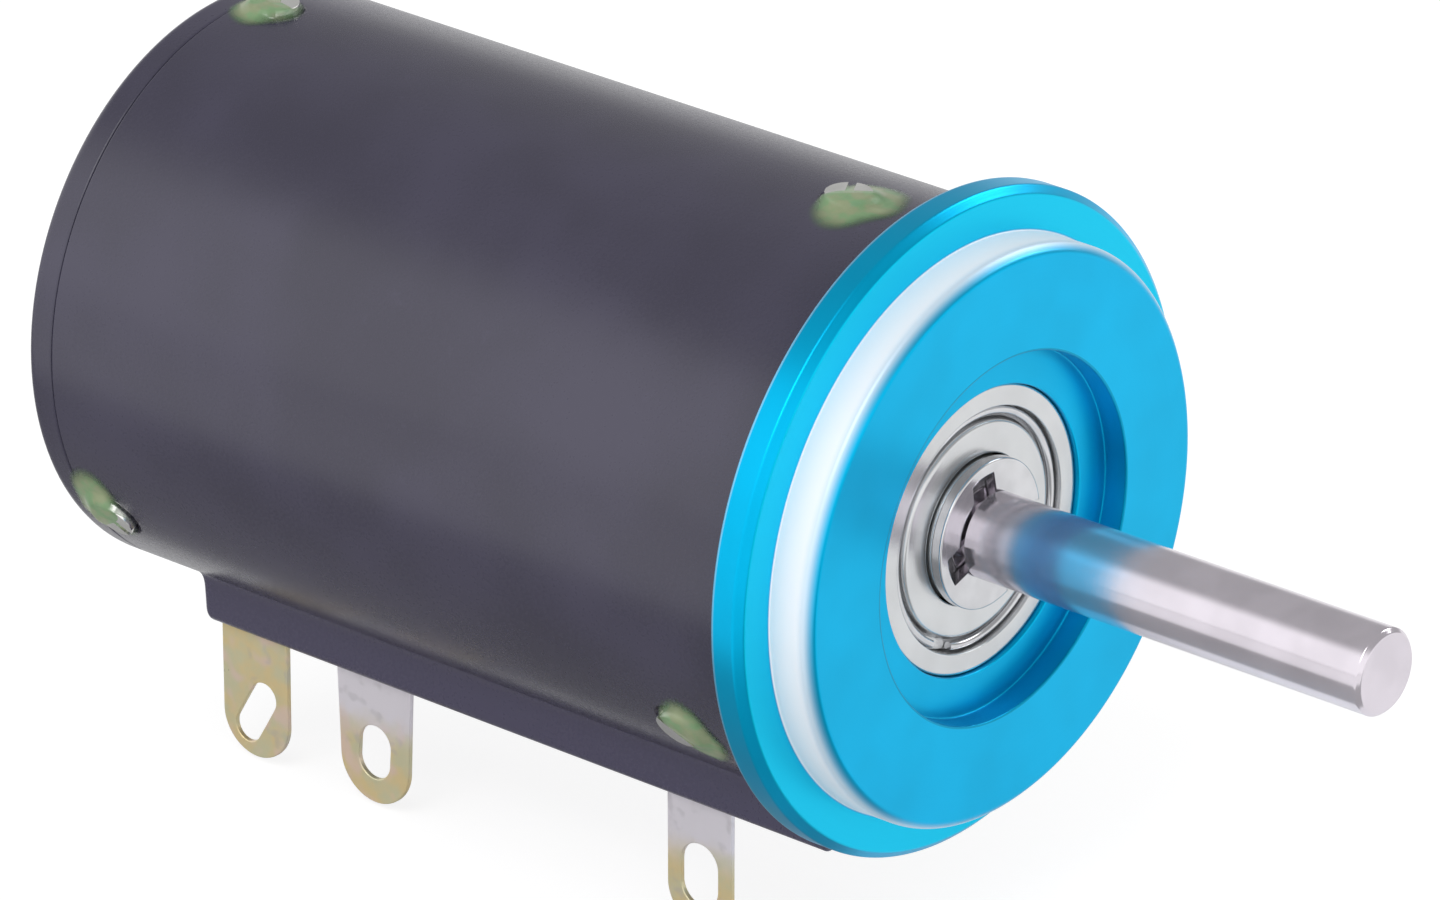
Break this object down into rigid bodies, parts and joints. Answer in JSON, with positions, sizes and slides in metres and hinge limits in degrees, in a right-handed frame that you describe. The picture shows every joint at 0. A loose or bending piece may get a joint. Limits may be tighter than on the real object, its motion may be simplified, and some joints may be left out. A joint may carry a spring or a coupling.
{
  "type": "multiturn potentiometer",
  "caption": "Servo-mount multiturn potentiometer: moulded cylinder with solder lugs, blue anodised flange and pilot, and a thin ground shaft in a shielded ball bearing.",
  "frame": {"origin": "centre of the front mounting face, where the pilot meets the flange", "axes": "+X along the shaft towards its tip, +Z away from the terminal bar, solder lugs towards -Z"},
  "size_m": [0.0499, 0.023, 0.0267],
  "materials": {
    "housing_plastic": "satin moulded thermoset",
    "blue_anodised": "fine-turned, anodised blue, pilot wall bare",
    "ground_steel": "ground satin",
    "bearing_steel": "polished",
    "spring_steel": "stamped, satin",
    "cage_steel": "pressed",
    "rotor_plastic": "moulded",
    "carriage_plastic": "moulded",
    "contact_brass": "satin",
    "resistance_wire": "close-wound wire",
    "lug_plating": "gold flash over silver plate",
    "screw_nickel": "nickel plated",
    "thread_lock_lacquer": "dried green lacquer"
  },
  "bodies": {
    "body": {"housing": "housing_plastic", "front_flange": "blue_anodised", "rear_cover": "housing_plastic", "front_bearing_outer": "bearing_steel", "front_bearing_shields": "bearing_steel", "front_bearing_snap_rings": "spring_steel", "rear_bearing_outer": "bearing_steel", "rear_bearing_shields": "bearing_steel", "rear_bearing_snap_rings": "spring_steel", "resistance_element": "resistance_wire", "element_strap_front": "contact_brass", "element_strap_rear": "contact_brass", "slip_ring_brush": "contact_brass", "terminal_slider": "lug_plating", "terminal_rear": "lug_plating", "terminal_front": "lug_plating", "front_screws": "screw_nickel", "rear_screws": "screw_nickel"},
    "rotor": {"shaft": "ground_steel", "retaining_ring": "spring_steel", "front_bearing_inner": "bearing_steel", "rear_bearing_inner": "bearing_steel", "spacer_sleeve": "contact_brass", "shim_washer": "contact_brass", "rotor_front_disc": "rotor_plastic", "rotor_rear_disc": "rotor_plastic", "guide_rod": "ground_steel", "collector_rod": "contact_brass", "slip_ring": "contact_brass"},
    "carriage": {"wiper_carriage": "carriage_plastic", "wiper_pin": "contact_brass"},
    "front_cage": {"front_bearing_balls": "bearing_steel", "front_bearing_cage": "cage_steel"},
    "rear_cage": {"rear_bearing_balls": "bearing_steel", "rear_bearing_cage": "cage_steel"}
  },
  "joints": [
    {"name": "shaft_turn", "type": "hinge", "parent": "body", "child": "rotor", "pos_m": [0, 0, 0], "axis": [1, 0, 0], "range_deg": [-1800, 1800]},
    {"name": "carriage_slide", "type": "slide", "parent": "rotor", "child": "carriage", "axis": [1, 0, 0], "range_m": [-0.00796, 0.00796]},
    {"name": "front_cage_turn", "type": "hinge", "parent": "body", "child": "front_cage", "pos_m": [0, 0, 0], "axis": [1, 0, 0], "range_deg": [-680, 680]},
    {"name": "rear_cage_turn", "type": "hinge", "parent": "body", "child": "rear_cage", "pos_m": [-0.0296, 0, 0], "axis": [1, 0, 0], "range_deg": [-722, 722]}
  ],
  "couplings": [
    {"joint": "carriage_slide", "follows": "shaft_turn", "m_per_rad": 0.00025306},
    {"joint": "front_cage_turn", "follows": "shaft_turn", "ratio": 0.37692},
    {"joint": "rear_cage_turn", "follows": "shaft_turn", "ratio": 0.4}
  ]
}
